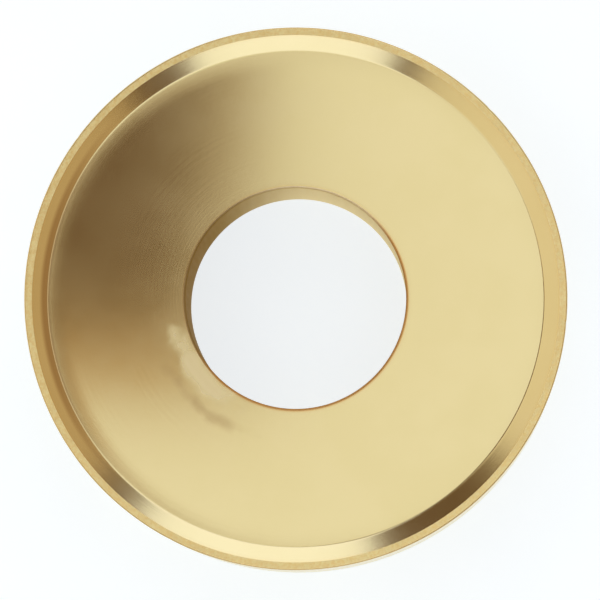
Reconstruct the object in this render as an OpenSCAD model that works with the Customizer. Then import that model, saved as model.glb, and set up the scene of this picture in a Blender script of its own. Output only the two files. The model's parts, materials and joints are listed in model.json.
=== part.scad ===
// Round, one-sided indexable insert for a face mill, with a plain hole.
// Millimetres. +Z is up and is the insert's axis. The origin is the centre of
// the seat on the underside, so the seat lies in z = 0 and the cutting edge is
// insert_t above it. The underside is flat, with a chamfer round it. From the
// hole outward the upper side has a middle that falls very slightly, a chip
// groove with a nearly level floor and a sloping wall, and a narrow level land
// that ends at the cutting edge. At the default sizes the land is the highest.

/* [Insert] */
// Diameter across the cutting edge
insert_d = 12.70; // [12:0.01:16]
// Height of the cutting edge above the seat
insert_t = 4.76; // [3:0.01:6.5]
// Diameter of the plain fixing hole
hole_d = 5.16; // [3.5:0.01:5.2]
// Radius of the rounding at each end of the hole
hole_round = 0.05; // [0.02:0.01:0.2]
// Width and height of the chamfer round the seat
seat_chamfer = 0.15; // [0.05:0.01:0.4]
// Slope at which the middle falls beside the hole, in degrees
inner_slope = 0.8; // [0.5:0.1:1]
// Slope at which the middle meets the groove, in degrees
outer_slope = 2.2; // [1.5:0.1:2.2]

/* [Chip groove and cutting edge] */
// Width of the groove's floor
floor_w = 0.42; // [0.3:0.01:0.5]
// Slope at which the floor meets the wall, in degrees
floor_slope = 0.5; // [0.3:0.1:1]
// Width of the groove's wall
wall_w = 0.38; // [0.3:0.01:0.5]
// Slope at which the wall rises to the land, in degrees
wall_slope = 18; // [12:0.5:22]
// Radius of the arc between the floor and the wall, seen in section
wall_blend = 0.14; // [0.1:0.01:0.5]
// Width of the land behind the cutting edge
land_w = 0.18; // [0.12:0.01:0.4]
// Radius of the rounding on the cutting edge
edge_round = 0.03; // [0.02:0.005:0.06]

/* [Hidden] */
$fn = 180;

// Straight pieces in each arc of the section
ROUNDING_STEPS = 6;
MIDDLE_STEPS = 6;
FLOOR_STEPS = 6;
BLEND_STEPS = 8;

// Directions in the section, in degrees: outward is along r, up is along z
OUTWARD = 0;
UP = 90;
INWARD = 180;
DOWN = 270;

// Radii at which the upper side changes, from the rim inward
rim_r = insert_d / 2;
land_r = rim_r - land_w;
floor_out_r = land_r - wall_w;
floor_in_r = floor_out_r - floor_w;
bore_r = hole_d / 2;
middle_in_r = bore_r + hole_round;

// The blend turns from floor_slope to wall_slope, and the wall runs straight on to the land
blend_centre_r = floor_out_r - wall_blend * sin(floor_slope);
wall_foot_r = blend_centre_r + wall_blend * sin(wall_slope);
wall_foot_z = insert_t - (land_r - wall_foot_r) * tan(wall_slope);
blend_centre = [blend_centre_r, wall_foot_z + wall_blend * cos(wall_slope)];

// The floor turns from falling at outer_slope to rising at floor_slope
floor_r = floor_w / (sin(outer_slope) + sin(floor_slope));
floor_centre = [
    floor_in_r + floor_r * sin(outer_slope),
    blend_centre[1] + (floor_r - wall_blend) * cos(floor_slope)
];

// The middle falls from inner_slope at the hole to outer_slope at the groove
middle_arc_r = (floor_in_r - middle_in_r) / (sin(outer_slope) - sin(inner_slope));
middle_centre = [
    floor_in_r - middle_arc_r * sin(outer_slope),
    floor_centre[1] - (floor_r + middle_arc_r) * cos(outer_slope)
];
hole_top_z = middle_centre[1] + middle_arc_r * cos(inner_slope);

// Roundings at the hole's two ends and on the cutting edge
upper_hole_centre = [middle_in_r, hole_top_z - hole_round];
lower_hole_centre = [middle_in_r, hole_round];
edge_centre = [rim_r - edge_round, insert_t - edge_round];

// Points of an arc in the section, from one direction to another
function arc(centre, radius, from, to, steps) = [
    for (i = [0:steps])
        let (a = from + (to - from) * i / steps)
        centre + radius * [cos(a), sin(a)]
];

// The section's points from the hole's wall over the upper side to the rim,
// and back along the seat to the hole
hole_edge = arc(upper_hole_centre, hole_round, INWARD, UP, ROUNDING_STEPS);
middle = arc(middle_centre, middle_arc_r, UP - inner_slope, UP - outer_slope, MIDDLE_STEPS);
groove_floor = arc(floor_centre, floor_r, DOWN - outer_slope, DOWN + floor_slope, FLOOR_STEPS);
blend = arc(blend_centre, wall_blend, DOWN + floor_slope, DOWN + wall_slope, BLEND_STEPS);
land_start = [[land_r, insert_t]];
cutting_edge = arc(edge_centre, edge_round, UP, OUTWARD, ROUNDING_STEPS);
seat = [
    [rim_r, seat_chamfer],
    [rim_r - seat_chamfer, 0]
];
lower_hole_edge = arc(lower_hole_centre, hole_round, DOWN, INWARD, ROUNDING_STEPS);

// Each stretch leaves out its first point where the one before it ends there
function rest(points) = [for (i = [1:len(points) - 1]) points[i]];

section = concat(
    hole_edge,
    rest(middle),
    rest(groove_floor),
    rest(blend),
    land_start,
    cutting_edge,
    seat,
    lower_hole_edge
);

module round_insert() {
    color([0.87, 0.78, 0.50])
        rotate_extrude()
            polygon(section);
}

round_insert();
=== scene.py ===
"""The looks of a round, gold-coated milling insert, lying on a pale floor and seen from almost
straight above.

Lengths are in metres. The sizes of the insert's section repeat those that the CAD model was
made with, and its diameter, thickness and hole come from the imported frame.
"""

import json
import math

import bmesh
import bpy
from mathutils import Matrix, Vector, noise


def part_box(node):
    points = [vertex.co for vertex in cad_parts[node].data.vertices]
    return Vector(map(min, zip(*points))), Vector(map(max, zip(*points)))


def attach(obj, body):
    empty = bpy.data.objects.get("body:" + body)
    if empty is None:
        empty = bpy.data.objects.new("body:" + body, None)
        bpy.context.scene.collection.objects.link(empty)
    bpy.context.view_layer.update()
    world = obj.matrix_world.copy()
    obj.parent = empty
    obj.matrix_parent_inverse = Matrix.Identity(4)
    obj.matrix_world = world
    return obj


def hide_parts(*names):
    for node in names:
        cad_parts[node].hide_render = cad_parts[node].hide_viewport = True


MM = 0.001

# The section, outside what the frame gives
HOLE_ROUND = 0.05 * MM
SEAT_CHAMFER = 0.15 * MM
INNER_SLOPE = math.radians(0.8)
OUTER_SLOPE = math.radians(2.2)
FLOOR_W = 0.42 * MM
FLOOR_SLOPE = math.radians(0.5)
WALL_W = 0.38 * MM
WALL_SLOPE = math.radians(18)
WALL_BLEND = 0.14 * MM
LAND_W = 0.18 * MM
EDGE_ROUND = 0.03 * MM

# How finely the insert is turned
TURN_STEPS = 720
MIDDLE_STEPS = 42
FLOOR_STEPS = 10
BLEND_STEPS = 8
WALL_STEPS = 8
LAND_STEPS = 4
ROUNDING_STEPS = 6
FLANK_STEPS = 16
SEAT_STEPS = 12

# Where the section's direction changes sharply: the zones before and after each crease
CREASES = {("hole", "face"), ("face", "land"), ("flank", "seat")}

# The mark that a clamp or pin has rubbed beside the hole, as low ridges and rougher metal, with a
# painted highlight in a light streak on it and painted shade in a dark line outside it
RUB_AZIMUTH = math.radians(219)
RUB_HALF_ANGLE = math.radians(17)
RUB_R = 2.84 * MM
RUB_HALF_W = 0.19 * MM
RUB_HEIGHT = 0.001 * MM
RIDGE_W = 0.16 * MM
SHADE_LINE_AZIMUTH = math.radians(228)
SHADE_LINE_HALF_ANGLE = math.radians(15)
SHADE_LINE_R = 3.38 * MM
SHADE_LINE_HALF_W = 0.10 * MM

# How far the wear beside an edge reaches, how deep the cutting edge's honing marks and nicks are,
# and how rare the nicks are, from 0 to 1
WEAR_W = 0.30 * MM
HONING_DEPTH = 0.0015 * MM
NICK_DEPTH = 0.05 * MM
NICK_RARITY = 0.52

# The side of the hole on which painted shade darkens its upper edge, as a direction, and how far
# towards that side the shade starts and is full
EDGE_SHADE_SIDE = (0.62, -0.79, 0)
EDGE_SHADE_SPAN = (-0.8 * MM, 0.5 * MM)
# Where the painted shade on the hole's wall is at its darkest brown and where it has given way to
# lit gold, from left to right
HOLE_SHADE_X = (-2.3 * MM, 0.5 * MM)

# The painted shade in the crease along the groove wall's foot: the radii over which it comes in and
# fades out, and how far to the left it is at its strongest and has ended
FOOT_SHADE_START_R = (5.74 * MM, 5.79 * MM)
FOOT_SHADE_END_R = (5.90 * MM, 6.02 * MM)
FOOT_SHADE_X = (-5.9 * MM, -3.9 * MM)

# How high the finest relief of each surface is
RING_HEIGHT = 0.00050 * MM
FACE_GRAIN_HEIGHT = 0.00016 * MM
LAND_GRAIN_HEIGHT = 0.0030 * MM
DRAWN_HEIGHT = 0.0006 * MM
DRAWN_GRAIN_HEIGHT = 0.0003 * MM
GRINDING_HEIGHT = 0.00008 * MM

# The least and greatest roughness of the face, land and seat, what scratches and the rubbed mark
# add to the face's, and the middle roughness of the side and hole, with how far it varies
FACE_ROUGHNESS = (0.125, 0.140)
SCRATCH_ROUGHNESS = 0.03
RUB_ROUGHNESS = 0.26
LAND_ROUGHNESS = (0.30, 0.44)
SEAT_ROUGHNESS = (0.23, 0.29)
FLANK_ROUGHNESS = 0.22
HOLE_ROUGHNESS = 0.42
DRAWN_SPREAD = 0.03

# The camera: how far off, how far from straight down, and towards which side it leans
CAMERA_DISTANCE = 0.200
CAMERA_TILT = math.radians(2.7)
CAMERA_LEAN = math.radians(-69)
SENSOR_W = 36.0
# The insert's diameter as a share of the frame's width, and how far the camera is shifted to the
# right and up, as shares of the same width
FILL = 0.9057
FRAME_SHIFT = (0.0072, -0.0027)

# The ceiling of soft panels, and the colour of each one's light
PANEL_HEIGHT = 0.150
OVERHEAD_LIGHT = (0.83, 0.86, 0.87)
COOL_LIGHT = (1.05, 1.11, 1.27)
WARM_LIGHT = (0.73, 0.68, 0.58)
DIM_LIGHT = (0.43, 0.33, 0.21)
TAN_LIGHT = (0.30, 0.25, 0.19)
AMBER_LIGHT = (0.38, 0.21, 0.05)
# The wide soft fill high above
FILL_RADIANCE = 0.12
FILL_SIZE = 3.0
FILL_HEIGHT = 2.0

# The room's walls and ceiling, seen past the panels: their colours, the direction towards the
# pale wall, how far along it the dim wall ends and the pale one is full, and the heights over
# which the walls turn into the ceiling, as the sine of the elevation
PALE_WALL = (1.00, 1.00, 0.99, 1)
DIM_WALL = (0.68, 0.64, 0.58, 1)
CEILING = (0.145, 0.083, 0.044, 1)
PALE_SIDE = (-0.707, 0.707, 0)
PALE_SPAN = (-0.9, 0.9)
CEILING_SPAN = (0.30, 0.75)

# The floor, which also glows faintly
FLOOR_RADIUS = 4.0
FLOOR_DARK = (0.39, 0.42, 0.44, 1)
FLOOR_PALE = (0.42, 0.45, 0.47, 1)
FLOOR_GLOW = (0.90, 0.955, 1.0, 1)
FLOOR_GLOW_STRENGTH = 0.78

# The coating's colours
FACE_GOLD = (0.81, 0.71, 0.375, 1)
PALE_GOLD = (0.83, 0.73, 0.395, 1)
DEEP_GOLD = (0.74, 0.57, 0.245, 1)
FLANK_GOLD = (0.80, 0.67, 0.335, 1)
LAND_GOLD = (0.88, 0.69, 0.29, 1)
PALE_LAND = (0.95, 0.85, 0.45, 1)
ORANGE_GOLD = (0.66, 0.44, 0.17, 1)
# Painted shade and light on the hole's wall, in its colour and in its reflection's tint
HOLE_SHADE_BROWN = (0.38, 0.26, 0.11, 1)
HOLE_LIT_GOLD = (0.88, 0.74, 0.44, 1)
HOLE_SHADE_TINT = (0.45, 0.31, 0.13, 1)
HOLE_LIT_TINT = (0.92, 0.80, 0.52, 1)
# Painted shade: in the crease at the groove wall's foot, and in the dark line beside the rubbed
# mark
SHADE_BROWN = (0.52, 0.38, 0.18, 1)
# Painted highlight: the light streak on the rubbed mark
RUB_HIGHLIGHT_GOLD = (0.88, 0.78, 0.47, 1)
# Painted shade along the hole's upper edge at the front right
EDGE_SHADE_ORANGE = (0.62, 0.33, 0.10, 1)


# ---- Small helpers for node trees ----


class Tree:
    """The node tree of a material or world, with a short way to add and link nodes."""

    def __init__(self, owner, shader):
        owner.use_nodes = True
        self.owner = owner
        self.tree = owner.node_tree
        self.shader = self.tree.nodes[shader]

    def add(self, kind, inputs=None, **settings):
        """Adds a node. Inputs are values, or sockets to link from."""
        node = self.tree.nodes.new(kind)
        for name, value in settings.items():
            setattr(node, name, value)
        for name, value in (inputs or {}).items():
            self.set(node, name, value)
        return node

    def set(self, node, name, value):
        if isinstance(value, bpy.types.NodeSocket):
            self.tree.links.new(value, node.inputs[name])
        else:
            node.inputs[name].default_value = value

    def math(self, operation, a, b):
        return self.add("ShaderNodeMath", {0: a, 1: b}, operation=operation).outputs[0]

    def along(self, vector, direction):
        """How far a vector goes in a direction."""
        inputs = {0: vector, 1: direction}
        node = self.add("ShaderNodeVectorMath", inputs, operation="DOT_PRODUCT")
        return node.outputs["Value"]

    def ramp(self, value, low, high, low_to=0.0, high_to=1.0):
        """Maps a value smoothly from one range to another."""
        inputs = {
            "Value": value,
            "From Min": low,
            "From Max": high,
            "To Min": low_to,
            "To Max": high_to,
        }
        node = self.add("ShaderNodeMapRange", inputs, interpolation_type="SMOOTHSTEP")
        return node.outputs["Result"]

    def mix_colour(self, factor, a, b):
        node = self.add("ShaderNodeMix", data_type="RGBA")
        self.set(node, 0, factor)
        self.set(node, 6, a)
        self.set(node, 7, b)
        return node.outputs[2]

    def noise(self, vector, per_mm, detail=3.0, rough=0.55):
        inputs = {"Vector": vector, "Scale": per_mm / MM, "Detail": detail, "Roughness": rough}
        return self.add("ShaderNodeTexNoise", inputs).outputs["Fac"]

    def bump(self, height, distance, before=None):
        inputs = {"Height": height, "Distance": distance, "Strength": 1.0}
        if before is not None:
            inputs["Normal"] = before
        return self.add("ShaderNodeBump", inputs).outputs["Normal"]


# ---- The insert's shape ----


def arc(centre, radius, start, end, steps):
    """Points of an arc in the section, as (r, z)."""
    points = []
    for i in range(steps + 1):
        angle = start + (end - start) * i / steps
        points.append((centre[0] + radius * math.cos(angle), centre[1] + radius * math.sin(angle)))
    return points


def line(start, end, steps):
    """Points between two points of the section, without either end."""
    return [
        tuple(a + (b - a) * i / steps for a, b in zip(start, end)) for i in range(1, steps)
    ]


def section(rim_r, bore_r, thickness):
    """The closed section, as (r, z, zone) from the hole's wall over the top and back below."""
    outward, up, inward, down = 0, math.pi / 2, math.pi, 3 * math.pi / 2
    land_r = rim_r - LAND_W
    floor_out_r = land_r - WALL_W
    floor_in_r = floor_out_r - FLOOR_W
    middle_in_r = bore_r + HOLE_ROUND

    blend_centre_r = floor_out_r - WALL_BLEND * math.sin(FLOOR_SLOPE)
    wall_foot_r = blend_centre_r + WALL_BLEND * math.sin(WALL_SLOPE)
    wall_foot_z = thickness - (land_r - wall_foot_r) * math.tan(WALL_SLOPE)
    blend_centre = (blend_centre_r, wall_foot_z + WALL_BLEND * math.cos(WALL_SLOPE))

    floor_r = FLOOR_W / (math.sin(OUTER_SLOPE) + math.sin(FLOOR_SLOPE))
    floor_centre = (
        floor_in_r + floor_r * math.sin(OUTER_SLOPE),
        blend_centre[1] + (floor_r - WALL_BLEND) * math.cos(FLOOR_SLOPE),
    )

    fall = math.sin(OUTER_SLOPE) - math.sin(INNER_SLOPE)
    middle_arc_r = (floor_in_r - middle_in_r) / fall
    middle_centre = (
        floor_in_r - middle_arc_r * math.sin(OUTER_SLOPE),
        floor_centre[1] - (floor_r + middle_arc_r) * math.cos(OUTER_SLOPE),
    )
    hole_top = middle_centre[1] + middle_arc_r * math.cos(INNER_SLOPE)

    upper_edge = arc((middle_in_r, hole_top - HOLE_ROUND), HOLE_ROUND, inward, up, ROUNDING_STEPS)
    lower_edge = arc((middle_in_r, HOLE_ROUND), HOLE_ROUND, down, inward, ROUNDING_STEPS)
    middle = arc(middle_centre, middle_arc_r, up - INNER_SLOPE, up - OUTER_SLOPE, MIDDLE_STEPS)
    floor = arc(floor_centre, floor_r, down - OUTER_SLOPE, down + FLOOR_SLOPE, FLOOR_STEPS)
    blend = arc(blend_centre, WALL_BLEND, down + FLOOR_SLOPE, down + WALL_SLOPE, BLEND_STEPS)
    land_start = (land_r, thickness)
    wall = line(blend[-1], land_start, WALL_STEPS)
    edge_centre = (rim_r - EDGE_ROUND, thickness - EDGE_ROUND)
    edge = arc(edge_centre, EDGE_ROUND, up, outward, ROUNDING_STEPS)
    chamfer_top = (rim_r, SEAT_CHAMFER)
    seat_rim = (rim_r - SEAT_CHAMFER, 0.0)

    zones = [
        ("hole", upper_edge[:-1]),
        ("face", middle + floor[1:] + blend[1:] + wall),
        ("land", [land_start] + line(land_start, edge[0], LAND_STEPS)),
        ("flank", edge + line(edge[-1], chamfer_top, FLANK_STEPS) + [chamfer_top]),
        ("seat", [seat_rim] + line(seat_rim, lower_edge[0], SEAT_STEPS)),
        ("hole", lower_edge + line(lower_edge[-1], upper_edge[0], FLANK_STEPS)),
    ]
    return [(r, z, zone) for zone, points in zones for r, z in points]


def smooth_step(x):
    x = min(max(x, 0.0), 1.0)
    return x * x * (3 - 2 * x)


def mark_amount(x, y, azimuth, half_angle, mark_r, half_w):
    """How strongly a point lies in a ragged mark that follows the hole's edge, from 0 to 1."""
    turn = math.atan2(y, x) - azimuth
    turn = abs(math.atan2(math.sin(turn), math.cos(turn))) / half_angle
    place = Vector((x, y, 0)) / MM
    ragged = 0.9 * noise.noise(place * 2.6) + 0.2 * noise.noise(place * 7.5)
    across = abs(math.hypot(x, y) - mark_r) / half_w
    along = smooth_step((1.8 - turn - ragged) / 1.6)
    return along * smooth_step((1.9 - across - ragged) / 1.7)


def rub_height(x, y, amount):
    """The rubbed metal is smeared into low ridges that follow the hole's edge."""
    r = math.hypot(x, y)
    along = Vector((math.atan2(y, x) * 3, r / RIDGE_W, 0))
    return RUB_HEIGHT * amount * (0.35 + noise.noise(along))


def nick_depth(azimuth):
    """How far the cutting edge is set back at an azimuth: honing marks and a few small nicks."""
    place = Vector((math.cos(azimuth), math.sin(azimuth), 0))
    fine = HONING_DEPTH * noise.noise(place * 45)
    nick = max(0.0, noise.noise(place * 16 + Vector((3, 1, 7))) - NICK_RARITY)
    return fine + NICK_DEPTH * nick


def make_insert(rim_r, bore_r, thickness, materials):
    """Turns the section round the axis, then works the rubbed mark and the nicks into it."""
    points = section(rim_r, bore_r, thickness)
    hole_top = max(z for _, z, zone in points if zone == "hole")
    zone_order = list(materials)
    mesh = bpy.data.meshes.new("turned_insert")
    bm = bmesh.new()
    rub_layer = bm.verts.layers.float.new("rub")
    shade_line_layer = bm.verts.layers.float.new("shade_line")
    wear_layer = bm.verts.layers.float.new("wear")
    rings = []
    for r, z, zone in points:
        ring = []
        from_hole_edge = abs(r - bore_r) + abs(z - hole_top)
        from_edge = min(abs(r - rim_r) + abs(z - thickness), 2 * from_hole_edge)
        wear = smooth_step(1 - from_edge / WEAR_W)
        near_rim = smooth_step(1 - (rim_r - r) / (2 * EDGE_ROUND))
        on_edge = near_rim * smooth_step(1.5 - (thickness - z) / (2 * EDGE_ROUND))
        for step in range(TURN_STEPS):
            azimuth = 2 * math.pi * step / TURN_STEPS
            radius = r - on_edge * nick_depth(azimuth)
            x = radius * math.cos(azimuth)
            y = radius * math.sin(azimuth)
            rub = 0.0
            shade_line = 0.0
            if zone == "face":
                rub = mark_amount(x, y, RUB_AZIMUTH, RUB_HALF_ANGLE, RUB_R, RUB_HALF_W)
                # Where the dark line outside the rubbed mark lies: painted shade only, with no
                # relief
                shade_line = mark_amount(x, y, SHADE_LINE_AZIMUTH, SHADE_LINE_HALF_ANGLE, SHADE_LINE_R, SHADE_LINE_HALF_W)
            vert = bm.verts.new((x, y, z + rub_height(x, y, rub)))
            vert[rub_layer] = rub
            vert[shade_line_layer] = shade_line
            vert[wear_layer] = wear
            ring.append(vert)
        rings.append(ring)
    for i, (_, _, zone) in enumerate(points):
        ring = rings[i]
        following = rings[(i + 1) % len(rings)]
        for step in range(TURN_STEPS):
            after = (step + 1) % TURN_STEPS
            face = bm.faces.new((ring[step], following[step], following[after], ring[after]))
            face.smooth = True
            face.material_index = zone_order.index(zone)
    for i, (_, _, zone) in enumerate(points):
        before = points[i - 1][2]
        if (before, zone) in CREASES:
            mark_sharp(bm, rings[i])
    bmesh.ops.recalc_face_normals(bm, faces=bm.faces)
    bm.to_mesh(mesh)
    bm.free()
    insert = bpy.data.objects.new("turned_insert", mesh)
    for zone in zone_order:
        mesh.materials.append(materials[zone])
    bpy.context.scene.collection.objects.link(insert)
    return insert


def mark_sharp(bm, ring):
    """Keeps a ring of edges crisp."""
    for step, vert in enumerate(ring):
        edge = bm.edges.get((vert, ring[(step + 1) % len(ring)]))
        edge.smooth = False


# ---- Materials ----


def gold_tree(name):
    tree = Tree(bpy.data.materials.new(name), "Principled BSDF")
    tree.shader.inputs["Metallic"].default_value = 1.0
    place = tree.add("ShaderNodeTexCoord").outputs["Object"]
    return tree, place


def squeezed(tree, place, scale):
    """The place scaled along each axis, which draws a texture out into streaks."""
    node = tree.add("ShaderNodeVectorMath", {0: place, 1: scale}, operation="MULTIPLY")
    return node.outputs[0]


def distance_from_axis(tree, place):
    flat = squeezed(tree, place, (1, 1, 0))
    return tree.add("ShaderNodeVectorMath", {0: flat}, operation="LENGTH").outputs["Value"]


def radius_vector(tree, place):
    """A vector that changes only with the distance from the axis."""
    distance = distance_from_axis(tree, place)
    return tree.add("ShaderNodeCombineXYZ", {"X": distance}).outputs["Vector"]


def x_of(tree, place):
    return tree.add("ShaderNodeSeparateXYZ", {"Vector": place}).outputs["X"]


def attribute(tree, name):
    node = tree.add("ShaderNodeAttribute", attribute_name=name)
    return node.outputs["Fac"]


def edge_shade(tree, place):
    """How strongly painted shade darkens the hole's upper edge: on the front right side only."""
    edge = tree.ramp(attribute(tree, "wear"), 0.4, 0.9)
    side = tree.ramp(tree.along(place, EDGE_SHADE_SIDE), *EDGE_SHADE_SPAN)
    return tree.math("MULTIPLY", edge, side)


def foot_shade(tree, place):
    """How strongly painted shade darkens the crease at the groove wall's foot: on the left side
    only.
    """
    distance = distance_from_axis(tree, place)
    start = tree.ramp(distance, *FOOT_SHADE_START_R)
    end = tree.ramp(distance, *FOOT_SHADE_END_R, 1.0, 0.0)
    left = tree.ramp(x_of(tree, place), *FOOT_SHADE_X, 1.0, 0.0)
    return tree.math("MULTIPLY", tree.math("MULTIPLY", start, end), left)


def face_material():
    """Smooth coated face with faint rings, soft clouds, fine scratches and the rubbed mark, with a
    painted highlight on the mark and painted shade beside it, at the groove wall's foot and at the
    hole's edge."""
    tree, place = gold_tree("coated_face")
    rub = attribute(tree, "rub")
    shade_line = attribute(tree, "shade_line")
    wear = attribute(tree, "wear")
    cloud = tree.noise(place, 0.7, detail=4)
    grain = tree.noise(place, 13, detail=4)
    rings = tree.noise(radius_vector(tree, place), 14, detail=4, rough=0.7)
    scratch = tree.noise(squeezed(tree, place, (1.0, 0.05, 1.0)), 16, detail=2)
    smear = tree.noise(radius_vector(tree, place), 9, detail=3)

    colour = tree.mix_colour(tree.ramp(cloud, 0.35, 0.68), FACE_GOLD, PALE_GOLD)
    colour = tree.mix_colour(tree.math("MULTIPLY", wear, 0.6), colour, DEEP_GOLD)
    # Painted shade along the hole's edge, at the front right
    colour = tree.mix_colour(edge_shade(tree, place), colour, EDGE_SHADE_ORANGE)
    # Painted shade in the crease at the groove wall's foot, on the left
    colour = tree.mix_colour(foot_shade(tree, place), colour, SHADE_BROWN)
    # Painted highlight: the light streak on the rubbed mark
    rub_highlight = tree.math("MULTIPLY", rub, tree.ramp(smear, 0.3, 0.65, 0.5, 1.0))
    colour = tree.mix_colour(rub_highlight, colour, RUB_HIGHLIGHT_GOLD)
    # Painted shade: the dark line outside the rubbed mark
    colour = tree.mix_colour(tree.math("MULTIPLY", shade_line, 0.5), colour, SHADE_BROWN)
    tree.set(tree.shader, "Base Color", colour)

    rough = tree.ramp(cloud, 0.3, 0.7, *FACE_ROUGHNESS)
    scratched = tree.ramp(scratch, 0.70, 0.78, 0.0, SCRATCH_ROUGHNESS)
    rough = tree.math("ADD", rough, scratched)
    rough = tree.math("ADD", rough, tree.math("MULTIPLY", rub, RUB_ROUGHNESS))
    tree.set(tree.shader, "Roughness", rough)

    normal = tree.bump(rings, RING_HEIGHT)
    normal = tree.bump(grain, FACE_GRAIN_HEIGHT, normal)
    tree.set(tree.shader, "Normal", normal)
    return tree.owner


def land_material():
    """Matte, grainy land, deeper in colour."""
    tree, place = gold_tree("honed_land")
    grain = tree.noise(place, 14, detail=4, rough=0.65)
    patch = tree.noise(place, 2.2, detail=3)
    colour = tree.mix_colour(tree.ramp(grain, 0.3, 0.72), LAND_GOLD, PALE_LAND)
    colour = tree.mix_colour(tree.ramp(patch, 0.35, 0.7, 0.0, 0.25), colour, DEEP_GOLD)
    tree.set(tree.shader, "Base Color", colour)
    tree.set(tree.shader, "Roughness", tree.ramp(grain, 0.3, 0.7, *LAND_ROUGHNESS))
    tree.set(tree.shader, "Normal", tree.bump(grain, LAND_GRAIN_HEIGHT))
    return tree.owner


def drawn_tree(name, roughness):
    """A wall that slid out of the die: satin, with faint marks along the axis."""
    tree, place = gold_tree(name)
    drawn = tree.noise(squeezed(tree, place, (1, 1, 0.03)), 9, detail=4, rough=0.65)
    grain = tree.noise(place, 24, detail=3)
    rough = tree.ramp(drawn, 0.3, 0.7, roughness - DRAWN_SPREAD, roughness + DRAWN_SPREAD)
    tree.set(tree.shader, "Roughness", rough)
    normal = tree.bump(drawn, DRAWN_HEIGHT)
    normal = tree.bump(grain, DRAWN_GRAIN_HEIGHT, normal)
    tree.set(tree.shader, "Normal", normal)
    return tree, place


def flank_material():
    """Satin side, more orange where the edge has worn."""
    tree, _ = drawn_tree("satin_flank", FLANK_ROUGHNESS)
    worn = tree.math("MULTIPLY", attribute(tree, "wear"), 0.5)
    tree.set(tree.shader, "Base Color", tree.mix_colour(worn, FLANK_GOLD, ORANGE_GOLD))
    return tree.owner


def hole_material():
    """The hole's wall, with painted shade: its colour and its reflection's tint go from a shaded
    brown on the left to a lit gold on the right.
    """
    tree, place = drawn_tree("satin_hole", HOLE_ROUGHNESS)
    # Painted shade: a shaded brown on the left of the wall, a lit gold on the right
    pale = tree.ramp(x_of(tree, place), *HOLE_SHADE_X)
    colour = tree.mix_colour(pale, HOLE_SHADE_BROWN, HOLE_LIT_GOLD)
    # Painted shade on the top of the hole's wall, at the front right
    colour = tree.mix_colour(edge_shade(tree, place), colour, EDGE_SHADE_ORANGE)
    tree.set(tree.shader, "Base Color", colour)
    tree.set(tree.shader, "Specular Tint", tree.mix_colour(pale, HOLE_SHADE_TINT, HOLE_LIT_TINT))
    return tree.owner


def seat_material():
    """Ground flat seat: fine parallel marks under the coating."""
    tree, place = gold_tree("ground_seat")
    ground = tree.noise(squeezed(tree, place, (1.0, 0.01, 1.0)), 20, detail=2, rough=0.5)
    tree.shader.inputs["Base Color"].default_value = FLANK_GOLD
    tree.set(tree.shader, "Roughness", tree.ramp(ground, 0.3, 0.7, *SEAT_ROUGHNESS))
    tree.set(tree.shader, "Normal", tree.bump(ground, GRINDING_HEIGHT))
    return tree.owner


def floor_material():
    """Plain pale acrylic with a very slight mottle and a faint glow."""
    tree = Tree(bpy.data.materials.new("pale_floor"), "Principled BSDF")
    place = tree.add("ShaderNodeTexCoord").outputs["Object"]
    mottle = tree.noise(place, 0.15, detail=3)
    colour = tree.mix_colour(tree.ramp(mottle, 0.3, 0.7), FLOOR_DARK, FLOOR_PALE)
    tree.set(tree.shader, "Base Color", colour)
    tree.shader.inputs["Roughness"].default_value = 0.6
    tree.shader.inputs["Emission Color"].default_value = FLOOR_GLOW
    tree.shader.inputs["Emission Strength"].default_value = FLOOR_GLOW_STRENGTH
    return tree.owner


# ---- Stage, lights and camera ----


def make_floor(level):
    """A large flat floor at the insert's lowest point."""
    mesh = bpy.data.meshes.new("floor")
    bm = bmesh.new()
    bmesh.ops.create_circle(bm, cap_ends=True, segments=96, radius=FLOOR_RADIUS)
    bm.to_mesh(mesh)
    bm.free()
    floor = bpy.data.objects.new("floor", mesh)
    floor.location.z = level
    mesh.materials.append(floor_material())
    bpy.context.scene.collection.objects.link(floor)


def soft_panel(name, x_span, y_span, colour):
    """A soft rectangular panel in the ceiling, facing down. Spans are in panel heights."""
    light = bpy.data.lights.new(name, "AREA")
    light.shape = "RECTANGLE"
    light.size = (x_span[1] - x_span[0]) * PANEL_HEIGHT
    light.size_y = (y_span[1] - y_span[0]) * PANEL_HEIGHT
    light.color = colour
    light.energy = math.pi * light.size * light.size_y
    panel = bpy.data.objects.new(name, light)
    panel.location = (
        sum(x_span) / 2 * PANEL_HEIGHT,
        sum(y_span) / 2 * PANEL_HEIGHT,
        PANEL_HEIGHT,
    )
    panel.visible_camera = False
    bpy.context.scene.collection.objects.link(panel)


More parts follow.
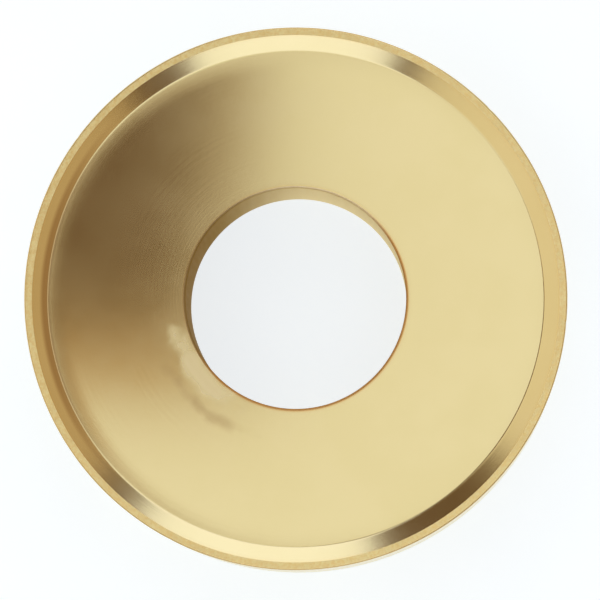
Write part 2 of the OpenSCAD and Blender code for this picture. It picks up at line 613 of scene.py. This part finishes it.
def make_lights():
    """Two panels overhead that leave their far left corner open, dimmer strips along the open
    corner's edges, one panel on each side, and a wide soft fill that metal doesn't reflect."""
    soft_panel("overhead_right", (-0.038, 0.30), (-0.28, 0.30), OVERHEAD_LIGHT)
    soft_panel("overhead_front_left", (-0.30, -0.038), (-0.28, -0.013), OVERHEAD_LIGHT)
    soft_panel("overhead_back_edge", (-0.070, -0.038), (-0.013, 0.30), TAN_LIGHT)
    soft_panel("overhead_left_edge", (-0.30, -0.070), (-0.013, 0.022), AMBER_LIGHT)
    soft_panel("back", (-0.215, 0.35), (0.33, 1.00), COOL_LIGHT)
    soft_panel("front", (-0.25, 0.23), (-0.95, -0.28), COOL_LIGHT)
    soft_panel("left", (-1.00, -0.30), (-0.50, 0.44), WARM_LIGHT)
    soft_panel("right", (0.33, 1.00), (-0.42, 0.47), DIM_LIGHT)

    fill = bpy.data.lights.new("fill", "AREA")
    fill.shape = "DISK"
    fill.size = FILL_SIZE
    fill.energy = FILL_RADIANCE * math.pi * math.pi * (fill.size / 2) ** 2
    lamp = bpy.data.objects.new("fill", fill)
    lamp.location.z = FILL_HEIGHT
    lamp.visible_camera = False
    lamp.visible_glossy = False
    bpy.context.scene.collection.objects.link(lamp)


def make_world():
    """Pale near the horizon and dim overhead, darker towards the front right corner."""
    tree = Tree(bpy.data.worlds.new("room"), "Background")
    bpy.context.scene.world = tree.owner
    direction = tree.add("ShaderNodeTexCoord").outputs["Generated"]
    height = tree.add("ShaderNodeSeparateXYZ", {"Vector": direction}).outputs["Z"]
    pale = tree.ramp(tree.along(direction, PALE_SIDE), *PALE_SPAN)
    walls = tree.mix_colour(pale, DIM_WALL, PALE_WALL)
    room = tree.mix_colour(tree.ramp(height, *CEILING_SPAN), walls, CEILING)
    tree.set(tree.shader, "Color", room)


def make_camera(target):
    """A long lens that looks almost straight down, with the image's top towards +Y."""
    data = bpy.data.cameras.new("camera")
    data.sensor_width = SENSOR_W
    camera = bpy.data.objects.new("camera", data)
    lean = Vector((math.cos(CAMERA_LEAN), math.sin(CAMERA_LEAN), 0)) * math.sin(CAMERA_TILT)
    back = lean + Vector((0, 0, math.cos(CAMERA_TILT)))
    right = Vector((0, 1, 0)).cross(back).normalized()
    up = back.cross(right)
    camera.rotation_euler = Matrix((right, up, back)).transposed().to_euler()
    camera.location = target + back * CAMERA_DISTANCE
    data.clip_start = CAMERA_DISTANCE / 10
    bpy.context.scene.collection.objects.link(camera)
    bpy.context.scene.camera = camera
    return camera, right, up


# ---- The scene ----

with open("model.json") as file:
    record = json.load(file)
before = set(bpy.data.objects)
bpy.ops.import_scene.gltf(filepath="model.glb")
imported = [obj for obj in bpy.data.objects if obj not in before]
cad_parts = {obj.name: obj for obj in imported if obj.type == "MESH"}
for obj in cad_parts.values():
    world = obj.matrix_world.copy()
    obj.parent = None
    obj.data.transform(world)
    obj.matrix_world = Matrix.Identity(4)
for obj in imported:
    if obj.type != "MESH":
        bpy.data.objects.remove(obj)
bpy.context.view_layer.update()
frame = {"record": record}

low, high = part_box("round_insert")
rim_r = (high[0] - low[0]) / 2
thickness = high[2] - low[2]
hole = next(m for m in frame["record"]["mounts"] if m["name"] == "pin_hole")
bore_r = hole["dims"]["r_mm"] * MM

camera, right, up = make_camera(Vector((0, 0, high[2])))
frame_w = 2 * rim_r / FILL
camera.data.lens = SENSOR_W * CAMERA_DISTANCE / frame_w
camera.location += (right * FRAME_SHIFT[0] + up * FRAME_SHIFT[1]) * frame_w

materials = {
    "face": face_material(),
    "land": land_material(),
    "flank": flank_material(),
    "seat": seat_material(),
    "hole": hole_material(),
}
insert = make_insert(rim_r, bore_r, thickness, materials)
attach(insert, "root")
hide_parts("round_insert")

make_floor(low[2])
make_lights()
make_world()
bpy.context.scene.view_settings.view_transform = "Standard"
